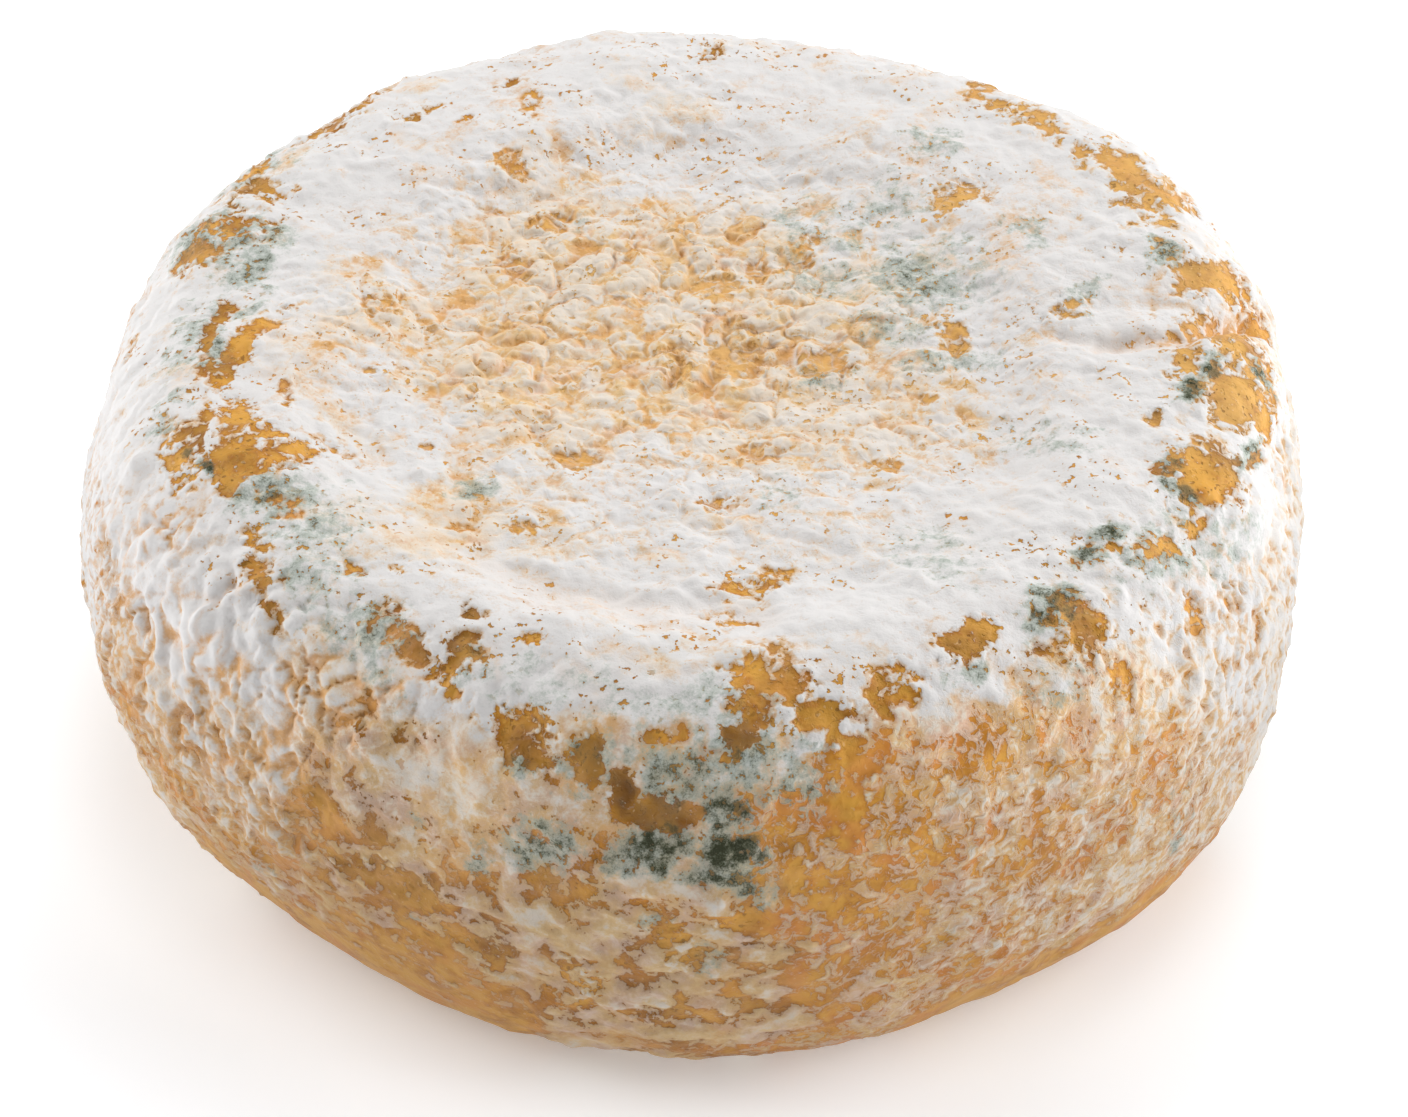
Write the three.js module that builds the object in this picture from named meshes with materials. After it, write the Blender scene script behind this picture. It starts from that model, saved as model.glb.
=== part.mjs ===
// A natural-rind cheese wheel that has ripened under mould: one solid, 200 mm across and 74 mm high.
// Its section is a flat underside, a side made of two quarter ellipses, and a face that has sunk inside
// its shoulder. The wheel is a little out of round, and knuckles of rind stand up along the shoulder.
// Millimetres, +Z up, with the origin under the middle of the wheel, on the surface it rests on.
// Azimuths are in degrees, from 0 at the front (-Y) to 90 at the right (+X).
import * as THREE from "three";
import { ImprovedNoise } from "three/addons/math/ImprovedNoise.js";

// Section of the wheel
const RADIUS = 100; // where the side bulges most
const HEIGHT = 74; // to the crest of the shoulder
const BULGE_HEIGHT = 44; // of the widest place
const CREST_RADIUS = 77; // where the shoulder turns into the face
const FOOT_RADIUS = 82; // of the flat underside
const FOOT_FADE = 1.5; // how quickly the foot's own lobes die out towards the bulge

// The sunken face: a shallow bowl, with a step down to it that isn't the same distance out all round
const BOWL = { radius: 74, depth: 2 };
const STEP = { radius: 57, width: 14, depth: 3 };
const STEP_LOBES = [
  { count: 1, swell: 11, azimuth: 2 },
  { count: 2, swell: 4, azimuth: 5 },
];

// How far the wheel is out of round: each row is a wave of so many lobes, with one crest at the azimuth
const SIDE_LOBES = [
  { count: 1, swell: 1.8, azimuth: 81 },
  { count: 2, swell: 1.5, azimuth: 10 },
  { count: 4, swell: 1.1, azimuth: 31 },
  { count: 6, swell: 0.8, azimuth: 3 },
];
const CREST_LOBES = [
  { count: 1, swell: 0.9, azimuth: 109 },
  { count: 2, swell: 0.9, azimuth: -29 },
  { count: 4, swell: 0.9, azimuth: 26 },
];
const FOOT_LOBES = [
  { count: 2, swell: 1.7, azimuth: 41 },
  { count: 4, swell: 1.0, azimuth: -26 },
  { count: 5, swell: 1.1, azimuth: -16 },
];

// Knuckles and folds of rind. arc is the way along the surface from the middle of the face, long is the
// size along that way, wide is the size across it, and a turn swings the long way clockwise seen from
// outside. A negative rise is a crease.
const KNUCKLES = [
  { azimuth: 9, arc: 87, long: 14, wide: 28, turn: 0, rise: 1.0 },
  { azimuth: 27, arc: 85, long: 11, wide: 12, turn: 0, rise: 1.2 },
  { azimuth: 39, arc: 90, long: 12, wide: 18, turn: 10, rise: 1.1 },
  { azimuth: 51, arc: 86, long: 16, wide: 16, turn: 0, rise: 0.9 },
  { azimuth: 66, arc: 87, long: 20, wide: 20, turn: 0, rise: 2.0 },
  { azimuth: 84, arc: 89, long: 24, wide: 24, turn: 15, rise: 2.2 },
  { azimuth: 101, arc: 91, long: 22, wide: 20, turn: 0, rise: 1.8 },
  { azimuth: 118, arc: 85, long: 16, wide: 26, turn: 0, rise: 1.4 },
  { azimuth: 134, arc: 83, long: 14, wide: 22, turn: 0, rise: 1.0 },
  { azimuth: 163, arc: 90, long: 18, wide: 24, turn: 0, rise: 1.2 },
  { azimuth: 188, arc: 93, long: 20, wide: 20, turn: -20, rise: 1.4 },
  { azimuth: 214, arc: 90, long: 16, wide: 26, turn: 0, rise: 1.1 },
  { azimuth: 249, arc: 84, long: 18, wide: 22, turn: 0, rise: 1.2 },
  { azimuth: 274, arc: 71, long: 18, wide: 11, turn: -40, rise: 1.2 },
  { azimuth: 299, arc: 75, long: 22, wide: 18, turn: 0, rise: 2.1 },
  { azimuth: 316, arc: 86, long: 13, wide: 10, turn: 0, rise: 1.0 },
  { azimuth: 337, arc: 84, long: 14, wide: 18, turn: 0, rise: 0.9 },
];
const FOLDS = [
  { azimuth: 55, arc: 76, long: 32, wide: 9, turn: -38, rise: 0.9 },
  { azimuth: 92, arc: 77, long: 34, wide: 9, turn: 0, rise: -1.3 },
  { azimuth: 75, arc: 58, long: 9, wide: 26, turn: 20, rise: 1.1 },
  { azimuth: 268, arc: 49, long: 8, wide: 38, turn: 0, rise: 1.0 },
  { azimuth: 145, arc: 64, long: 10, wide: 46, turn: 0, rise: 0.8 },
  { azimuth: 204, arc: 58, long: 8, wide: 40, turn: 8, rise: 0.8 },
  { azimuth: 177, arc: 51, long: 8, wide: 36, turn: 0, rise: -0.8 },
  { azimuth: 352, arc: 73, long: 9, wide: 64, turn: 0, rise: 0.8 },
];

// Unevenness of the rind, from broad swellings down to the smallest lump that the facets can hold
const LUMPS = [
  { size: 34, rise: 1.0 },
  { size: 15, rise: 0.7 },
];
const LUMPS_END = 6; // below this height the lumps fade out, so that the underside stays flat

// The mesh: a sphere of even triangles laid over the wheel. FACE_SHARE above 1 gives more of them to the face.
const SPHERE_DETAIL = 21;
const FACE_SHARE = 1.15;
const ARC_STEPS = 400;

const RIND = { color: 0xd9cfc0, roughness: 0.85, metalness: 0 };

const clamp01 = (x) => Math.min(1, Math.max(0, x));
const smooth = (x) => clamp01(x) ** 2 * (3 - 2 * clamp01(x));

// The swell of a list of lobes at an azimuth in radians
function lobesAt(lobes, azimuth) {
  return lobes.reduce(
    (sum, lobe) => sum + lobe.swell * Math.cos(lobe.count * (azimuth - THREE.MathUtils.degToRad(lobe.azimuth))),
    0,
  );
}

// The side from the crest down to the foot: radius, height, arc and stretch. The stretch is the sum of
// step / radius, which is what keeps the shape of the triangles when the sphere is laid over the wheel.
function sideOfWheel() {
  const rows = [];
  for (let i = 0; i <= 2 * ARC_STEPS; i += 1) {
    const shoulder = i <= ARC_STEPS;
    const angle = ((shoulder ? i : i - ARC_STEPS) / ARC_STEPS) * (Math.PI / 2);
    const radius = shoulder
      ? CREST_RADIUS + (RADIUS - CREST_RADIUS) * Math.sin(angle)
      : FOOT_RADIUS + (RADIUS - FOOT_RADIUS) * Math.cos(angle);
    const height = shoulder
      ? BULGE_HEIGHT + (HEIGHT - BULGE_HEIGHT) * Math.cos(angle)
      : BULGE_HEIGHT * (1 - Math.sin(angle));
    const last = rows[rows.length - 1];
    const step = last ? Math.hypot(radius - last.radius, height - last.height) : 0;
    rows.push({
      radius,
      height,
      arc: last ? last.arc + step : CREST_RADIUS,
      stretch: last ? last.stretch + step / ((radius + last.radius) / 2) : 0,
    });
  }
  return rows;
}

const SIDE = sideOfWheel();
const FOOT = SIDE[SIDE.length - 1];

// The place on the section that a point of the sphere goes to, by its angle from the top of the sphere
function placeOnSection(angle) {
  const stretch = Math.log(Math.tan(angle / 2) / (FACE_SHARE * Math.exp(-SIDE[ARC_STEPS].stretch)));
  if (stretch <= 0) {
    const radius = CREST_RADIUS * Math.exp(stretch);
    return { radius, height: HEIGHT, arc: radius };
  }
  if (stretch >= FOOT.stretch) {
    const radius = FOOT_RADIUS * Math.exp(FOOT.stretch - stretch);
    return { radius, height: 0, arc: FOOT.arc + FOOT_RADIUS - radius };
  }
  const above = SIDE.findLastIndex((row) => row.stretch <= stretch);
  const [a, b] = [SIDE[above], SIDE[above + 1]];
  const share = (stretch - a.stretch) / (b.stretch - a.stretch);
  return {
    radius: THREE.MathUtils.lerp(a.radius, b.radius, share),
    height: THREE.MathUtils.lerp(a.height, b.height, share),
    arc: THREE.MathUtils.lerp(a.arc, b.arc, share),
  };
}

// How far the face has sunk at a place
function sink(radius, azimuth) {
  const bowl = (BOWL.depth / 2) * (1 + Math.cos(Math.PI * clamp01(radius / BOWL.radius)));
  const edge = STEP.radius + lobesAt(STEP_LOBES, azimuth);
  return bowl + STEP.depth * (1 - smooth((radius - edge) / STEP.width + 0.5));
}

// The rise of one knuckle or fold: full in its middle and gone at its rim
function riseOf(bump, place, azimuth) {
  const turn = THREE.MathUtils.degToRad(bump.turn);
  const swing = azimuth - THREE.MathUtils.degToRad(bump.azimuth);
  const across = place.radius * Math.atan2(Math.sin(swing), Math.cos(swing));
  const down = place.arc - bump.arc;
  const along = (down * Math.cos(turn) + across * Math.sin(turn)) / (bump.long / 2);
  const aside = (across * Math.cos(turn) - down * Math.sin(turn)) / (bump.wide / 2);
  return bump.rise * clamp01(1 - (along ** 2 + aside ** 2) / 2) ** 2;
}

const noise = new ImprovedNoise();

function lumpsAt(point) {
  return LUMPS.reduce(
    (sum, lump) => sum + lump.rise * noise.noise(point.x / lump.size, point.y / lump.size, point.z / lump.size),
    0,
  );
}

// Where a direction from the middle of the sphere lands on the wheel
function pointOnWheel(direction) {
  const azimuth = Math.atan2(direction.x, -direction.y);
  const place = placeOnSection(Math.acos(THREE.MathUtils.clamp(direction.z, -1, 1)));
  const outward = new THREE.Vector3(Math.sin(azimuth), -Math.cos(azimuth), 0);
  const onFace = place.arc <= CREST_RADIUS;
  const foot = clamp01(1 - place.height / BULGE_HEIGHT) ** FOOT_FADE;
  const footEdge = Math.min(1, place.radius / FOOT_RADIUS);
  const radius =
    place.radius * (1 + lobesAt(SIDE_LOBES, azimuth) / RADIUS) +
    lobesAt(FOOT_LOBES, azimuth) * foot * footEdge;
  const sunk = place.height - (onFace ? sink(place.radius, azimuth) : 0);
  const crest = (lobesAt(CREST_LOBES, azimuth) / HEIGHT) * clamp01(place.radius / CREST_RADIUS);
  const point = outward.clone().multiplyScalar(radius);
  point.z = sunk * (1 + crest * clamp01(sunk / HEIGHT));
  // The outward normal of the two ellipses, or straight up on the face
  const [wide, tall] =
    place.height > BULGE_HEIGHT
      ? [RADIUS - CREST_RADIUS, HEIGHT - BULGE_HEIGHT]
      : [RADIUS - FOOT_RADIUS, BULGE_HEIGHT];
  const normal = outward
    .clone()
    .multiplyScalar((place.radius - (RADIUS - wide)) / wide ** 2)
    .setZ((place.height - BULGE_HEIGHT) / tall ** 2)
    .normalize();
  if (onFace) normal.set(0, 0, 1);
  const rise = [...KNUCKLES, ...FOLDS].reduce((sum, bump) => sum + riseOf(bump, place, azimuth), lumpsAt(point));
  return point.addScaledVector(normal, rise * smooth(place.height / LUMPS_END));
}

// Moves the wheel sideways so that the middle of its outline is over the origin
function centreSideways(geometry) {
  geometry.computeBoundingBox();
  const middle = geometry.boundingBox.getCenter(new THREE.Vector3());
  geometry.translate(-middle.x, -middle.y, 0);
}

function cheeseWheel() {
  const geometry = new THREE.IcosahedronGeometry(1, SPHERE_DETAIL);
  const positions = geometry.getAttribute("position");
  const direction = new THREE.Vector3();
  for (let i = 0; i < positions.count; i += 1) {
    direction.fromBufferAttribute(positions, i).normalize();
    const point = pointOnWheel(direction);
    positions.setXYZ(i, point.x, point.y, point.z);
  }
  centreSideways(geometry);
  geometry.deleteAttribute("uv");
  geometry.computeVertexNormals();
  const wheel = new THREE.Mesh(geometry, new THREE.MeshStandardMaterial(RIND));
  wheel.name = "cheese_wheel";
  return wheel;
}

const part = new THREE.Group();
part.add(cheeseWheel());

export default part;
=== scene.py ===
"""Natural-rind cheese wheel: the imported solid, refined and given its mould, bare rind and relief."""
import math

import bpy
import numpy as np
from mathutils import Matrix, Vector


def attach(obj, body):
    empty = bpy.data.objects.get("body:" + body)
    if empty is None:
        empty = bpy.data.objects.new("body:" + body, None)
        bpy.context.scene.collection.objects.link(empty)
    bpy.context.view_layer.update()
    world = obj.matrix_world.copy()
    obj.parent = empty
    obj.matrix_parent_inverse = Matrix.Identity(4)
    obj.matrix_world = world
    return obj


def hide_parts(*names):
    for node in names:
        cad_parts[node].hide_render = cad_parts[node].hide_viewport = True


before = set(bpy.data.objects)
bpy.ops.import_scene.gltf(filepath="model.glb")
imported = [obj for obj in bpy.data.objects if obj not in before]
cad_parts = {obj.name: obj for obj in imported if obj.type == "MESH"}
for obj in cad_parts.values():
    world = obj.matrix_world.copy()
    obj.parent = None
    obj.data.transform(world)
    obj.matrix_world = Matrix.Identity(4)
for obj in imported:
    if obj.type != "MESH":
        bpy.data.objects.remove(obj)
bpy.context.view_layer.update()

MM = 0.001

# ---------------------------------------------------------------- camera
# The camera looks at the front of the wheel from above, with a medium telephoto lens.
CAMERA_LENS = 85.0
CAMERA_SENSOR = 36.0
CAMERA_ELEVATION = math.radians(40.0)
CAMERA_DISTANCE = 553.7 * MM
CAMERA_TARGET = (2.04 * MM, 0.29 * MM, 24.5 * MM)
CAMERA_CLIP = 0.01

# ---------------------------------------------------------------- the wheel's section, mm
# A nominal section, used to say how far down the surface a place lies.
SECTION_RADIUS = 100.0
SECTION_HEIGHT = 74.0
SECTION_CREST = 77.0
SECTION_FOOT = 82.0
SECTION_BULGE = 44.0
SECTION_CENTRE = 40.0
SECTION_STEPS = 400

# Rounds of subdivision, each with four triangles for one.
SUBDIVISIONS = 3


def smooth(low, high, value):
    """0 below low, 1 above high, and an S-curve between."""
    t = np.clip((value - low) / (high - low), 0.0, 1.0)
    return t * t * (3.0 - 2.0 * t)


# ---------------------------------------------------------------- noise
# Odd numbers with well-spread bits, for hashing the lattice. A round is a shift and a factor.
HASH_AXES = np.array([0x9E3779B1, 0x85EBCA77, 0xC2B2AE3D], np.uint32)
HASH_SEED = 2654435761
HASH_ROUNDS = ((15, 0x2C1B3C6D), (12, 0x297A2D39))


def mixed(cell, seed):
    """A well-mixed 32-bit number for each lattice cell."""
    c = cell.astype(np.int64).astype(np.uint32)
    h = c[:, 0] * HASH_AXES[0] ^ c[:, 1] * HASH_AXES[1] ^ c[:, 2] * HASH_AXES[2]
    h = h + np.uint32(seed * HASH_SEED % 2 ** 32)
    for shift, factor in HASH_ROUNDS:
        h = (h ^ (h >> np.uint32(shift))) * np.uint32(factor)
    return h ^ (h >> np.uint32(15))


CORNERS = [(i, j, k) for i in (0, 1) for j in (0, 1) for k in (0, 1)]
GRADIENTS = np.array([(a, b, 0) for a in (-1, 1) for b in (-1, 1)]
                     + [(a, 0, b) for a in (-1, 1) for b in (-1, 1)]
                     + [(0, a, b) for a in (-1, 1) for b in (-1, 1)]
                     + [(1, 1, 0), (-1, 1, 0), (0, -1, 1), (0, -1, -1)], np.float32)


def gradient_noise(points, size, seed):
    """Gradient noise of about -1 to 1, with features of the given size in mm."""
    p = (points / size).astype(np.float32)
    base = np.floor(p)
    f = p - base
    fade = f * f * f * (f * (f * 6.0 - 15.0) + 10.0)
    total = np.zeros(len(p), np.float32)
    for corner in CORNERS:
        c = np.array(corner, np.float32)
        g = GRADIENTS[mixed(base + c, seed) & np.uint32(15)]
        d = f - c
        w = np.prod(np.where(c > 0, fade, 1.0 - fade), axis=1)
        total += w * np.sum(g * d, axis=1)
    return total * 1.5


def fractal(points, size, seed, octaves=3, falloff=0.55):
    """Gradient noise summed over octaves, each half the size of the one before."""
    total = np.zeros(len(points), np.float32)
    weight, norm = 1.0, 0.0
    for i in range(octaves):
        total += weight * gradient_noise(points, size / 2 ** i, seed + 17 * i)
        norm += weight
        weight *= falloff
    return total / norm


# A cell centre moves by ten bits of its number along each axis.
TEN_BITS = np.uint32(1023)
KEY_STEPS = np.uint32(997)
NEIGHBOURS = [(i, j, k) for i in (-1, 0, 1) for j in (-1, 0, 1) for k in (-1, 0, 1)]


def cells(points, size, seed):
    """Distances to the two nearest cell centres, in cell sizes, and a number from 0 to 1 for each."""
    p = (points / size).astype(np.float32)
    base = np.floor(p)
    near = np.full(len(p), np.inf, np.float32)
    second = near.copy()
    key = np.zeros(len(p), np.uint32)
    other = key.copy()
    for n in NEIGHBOURS:
        cell = base + np.array(n, np.float32)
        h = mixed(cell, seed)
        jitter = np.stack([(h >> np.uint32(shift)) & TEN_BITS for shift in (0, 10, 20)], 1)
        jitter = jitter.astype(np.float32) / np.float32(TEN_BITS)
        d = np.sqrt(np.sum((cell + jitter - p) ** 2, axis=1))
        closer = d < near
        between = ~closer & (d < second)
        other = np.where(closer, key, np.where(between, h, other))
        second = np.where(closer, near, np.where(between, d, second))
        key = np.where(closer, h, key)
        near = np.where(closer, d, near)
    value, beyond = (((k >> np.uint32(3)) % KEY_STEPS) / np.float32(KEY_STEPS) for k in (key, other))
    return near, second, value, beyond


def scales(points, size, seed, step=0.3):
    """Overlapping scales of mould: each one's level, its gap to the next, how far it stands over it or lies
    under it, and its dome."""
    near, second, value, beyond = cells(points, size, seed)
    gap = second - near
    inner = smooth(0.0, step, gap)
    level = value * inner + 0.5 * (value + beyond) * (1.0 - inner)
    over = smooth(0.02, 0.35, value - beyond)
    under = smooth(0.02, 0.45, beyond - value) * (1.0 - smooth(0.0, 1.4 * step, gap))
    dome = np.clip(1.0 - (near / 0.95) ** 2, 0.0, 1.0) * smooth(0.0, 0.35, gap)
    return level, gap, over, under, dome


def lumps(points, size, seed):
    """Rounded lumps side by side: their height 0 to 1, and the furrow between them."""
    near, second, value, _ = cells(points, size, seed)
    dome = np.clip(1.0 - (near / 0.95) ** 2, 0.0, 1.0) ** 0.7
    return dome * (0.65 + 0.35 * value), 1.0 - smooth(0.0, 0.25, second - near)


def warped(points, size, amount, seed):
    """The points, each moved by up to about the given amount in mm."""
    shift = [gradient_noise(points, size, seed + i) for i in range(3)]
    return points + amount * np.stack(shift, 1)


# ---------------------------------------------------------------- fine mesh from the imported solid
def welded(mesh):
    """Vertices and triangles of a mesh, with vertices at one place made one."""
    mesh.calc_loop_triangles()
    places = np.empty(len(mesh.vertices) * 3, np.float32)
    mesh.vertices.foreach_get("co", places)
    triangles = np.empty(len(mesh.loop_triangles) * 3, np.int32)
    mesh.loop_triangles.foreach_get("vertices", triangles)
    places = places.reshape(-1, 3).astype(np.float64) / MM
    microns = np.round(places * 1000.0).astype(np.int64)
    _, first, back = np.unique(microns, axis=0, return_index=True, return_inverse=True)
    return places[first], back.reshape(-1)[triangles].reshape(-1, 3)


def loop_subdivided(points, faces):
    """One round of Loop subdivision of a closed triangle mesh."""
    n = len(points)
    sides = np.concatenate([faces[:, [0, 1]], faces[:, [1, 2]], faces[:, [2, 0]]])
    opposite = np.concatenate([faces[:, 2], faces[:, 0], faces[:, 1]])
    key = sides.min(1).astype(np.int64) * n + sides.max(1)
    edge, back = np.unique(key, return_inverse=True)
    back = back.reshape(-1)
    a, b = edge // n, edge % n
    across = np.zeros((len(edge), 3))
    for i in range(3):
        across[:, i] = np.bincount(back, points[opposite, i], minlength=len(edge))
    middle = 0.375 * (points[a] + points[b]) + 0.125 * across
    valence = np.bincount(a, minlength=n) + np.bincount(b, minlength=n)
    ring = np.zeros((n, 3))
    for i in range(3):
        ring[:, i] = np.bincount(a, points[b, i], minlength=n) + np.bincount(b, points[a, i], minlength=n)
    beta = np.where(valence == 3, 3.0 / 16.0, 3.0 / (8.0 * valence))[:, None]
    moved = (1.0 - valence[:, None] * beta) * points + beta * ring
    ab, bc, ca = (back[i * len(faces):(i + 1) * len(faces)] + n for i in range(3))
    v0, v1, v2 = faces.T
    quarters = ((v0, ab, ca), (v1, bc, ab), (v2, ca, bc), (ab, bc, ca))
    split = np.concatenate([np.stack(corners, 1) for corners in quarters])
    return np.concatenate([moved, middle]), split


def normals_of(points, faces):
    """Unit vertex normals, weighted by the area of the triangles."""
    p = points[faces]
    flat = np.cross(p[:, 1] - p[:, 0], p[:, 2] - p[:, 0])
    total = np.zeros_like(points)
    for corner in range(3):
        for i in range(3):
            total[:, i] += np.bincount(faces[:, corner], flat[:, i], minlength=len(points))
    return total / np.linalg.norm(total, axis=1)[:, None]


# ---------------------------------------------------------------- places on the surface
def section_table():
    """Angle about the section's centre, and the distance down the surface from the middle of the face."""
    t = np.linspace(0.0, np.pi / 2, SECTION_STEPS)[::-1]
    flat = np.linspace(0.0, SECTION_CREST, SECTION_STEPS)
    foot = np.linspace(SECTION_FOOT, 0.0, SECTION_STEPS)
    r = np.concatenate([flat, SECTION_CREST + (SECTION_RADIUS - SECTION_CREST) * np.cos(t),
                        SECTION_FOOT + (SECTION_RADIUS - SECTION_FOOT) * np.sin(t), foot])
    z = np.concatenate([np.full(SECTION_STEPS, SECTION_HEIGHT),
                        SECTION_BULGE + (SECTION_HEIGHT - SECTION_BULGE) * np.sin(t),
                        SECTION_BULGE * (1.0 - np.cos(t)), np.zeros(SECTION_STEPS)])
    arc = np.concatenate([[0.0], np.cumsum(np.hypot(np.diff(r), np.diff(z)))])
    angle = np.arctan2(r, z - SECTION_CENTRE)
    return angle, arc, r


SECTION_ANGLE, SECTION_ARC, SECTION_R = section_table()
FOOT_ARC = SECTION_ARC[-SECTION_STEPS]

points, faces = welded(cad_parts["cheese_wheel"].data)
for _ in range(SUBDIVISIONS):
    points, faces = loop_subdivided(points, faces)
points = points.astype(np.float32)
normals = normals_of(points, faces)

azimuth = np.degrees(np.arctan2(points[:, 0], -points[:, 1]))
around = np.hypot(points[:, 0], points[:, 1])
arc = np.interp(np.arctan2(around, points[:, 2] - SECTION_CENTRE), SECTION_ANGLE, SECTION_ARC)
plan_x = arc * np.sin(np.radians(azimuth))
plan_y = -arc * np.cos(np.radians(azimuth))

ragged_wide = fractal(points, 5.0, 23, 2)
ragged_fine = fractal(points, 2.0, 29, 2)


def ragged(wide, long):
    """An uneven edge, for an oval of the given size in mm."""
    half = min(wide, long) / 2
    share = min(1.0, half / 3.0)
    return share * (2.2 * ragged_wide + 1.4 * ragged_fine) / half


def turned(across, down, turn):
    """Distances along an oval's own axes, for one turned by an angle in degrees."""
    c, s = math.cos(math.radians(turn)), math.sin(math.radians(turn))
    return across * c + down * s, down * c - across * s


def from_face(x, y, wide, long, turn=0.0):
    """Distance from a place on the face, 1 at the edge of an oval of the given size in mm."""
    u, v = turned(plan_x - x, plan_y - y, turn)
    return np.hypot(u / (wide / 2), v / (long / 2)) + ragged(wide, long)


def from_side(at, down, wide, long, turn=0.0):
    """The same, for a place given by its azimuth and its distance down the surface."""
    r = np.interp(down, SECTION_ARC, SECTION_R)
    along = (azimuth - at + 180.0) % 360.0 - 180.0
    u, v = turned(np.radians(along) * r, arc - down, turn)
    return np.hypot(u / (wide / 2), v / (long / 2)) + ragged(wide, long)


def spots(rows, distance, soft=None):
    """The strongest of a list of soft-edged ovals at each vertex. Strong ones have a firmer edge."""
    total = np.zeros(len(points), np.float32)
    for *place, strength in rows:
        blur = soft or (0.6 if strength < 1.25 else 0.45)
        inside = 1.0 - smooth(1.0 - blur, 1.0 + blur, distance(*place))
        total = np.maximum(total, strength * inside)
    return total


# ---------------------------------------------------------------- where the mould is thin or gone
# On the face: x, y, wide, long, turn, strength.
FACE_BARE = (
    (9, -3, 9, 13, 0, 1.0), (-3, -7, 6, 8, 0, 0.9), (4, 17, 8, 6, 0, 0.9), (24.5, -6.5, 7, 7, 0, 1.1),
    (45, -1.5, 5.5, 7.5, 0, 1.3), (-20, -35.5, 5.5, 4.2, 0, 1.3), (4, -46.5, 4.5, 3.5, 30, 1.1),
    (33.5, -37, 5, 4, 0, 0.8), (-27, -53, 4, 2.5, 0, 1.0), (-36.5, -53.5, 3, 2, 0, 0.8),
    (-27, 37, 6, 4.5, 0, 1.2), (-31, 45, 5, 2, 25, 1.0), (44, 33, 6, 4.5, 0, 1.1),
    (60.5, 2, 6, 4.5, 0, 1.0), (21, 27, 4, 7, 0, 0.8), (13, 21, 6, 6, 0, 0.5), (-34, 26, 4, 8, 20, 0.5),
    (-11, 25, 3, 6, 0, 0.6), (-53, 9, 4, 6, 0, 0.6), (-22, -13, 4, 3, 0, 0.5), (12, -33, 6, 7, 0, 0.4),
    (-54, 4.5, 1.6, 1.6, 0, 1.0), (-53.5, -12, 1.5, 1.8, 0, 1.2), (-44, -32, 2, 1.5, 0, 1.0),
    (42, -18, 2, 3, 0, 0.7), (-38, 56, 5, 2, 0, 0.5),
)
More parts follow.
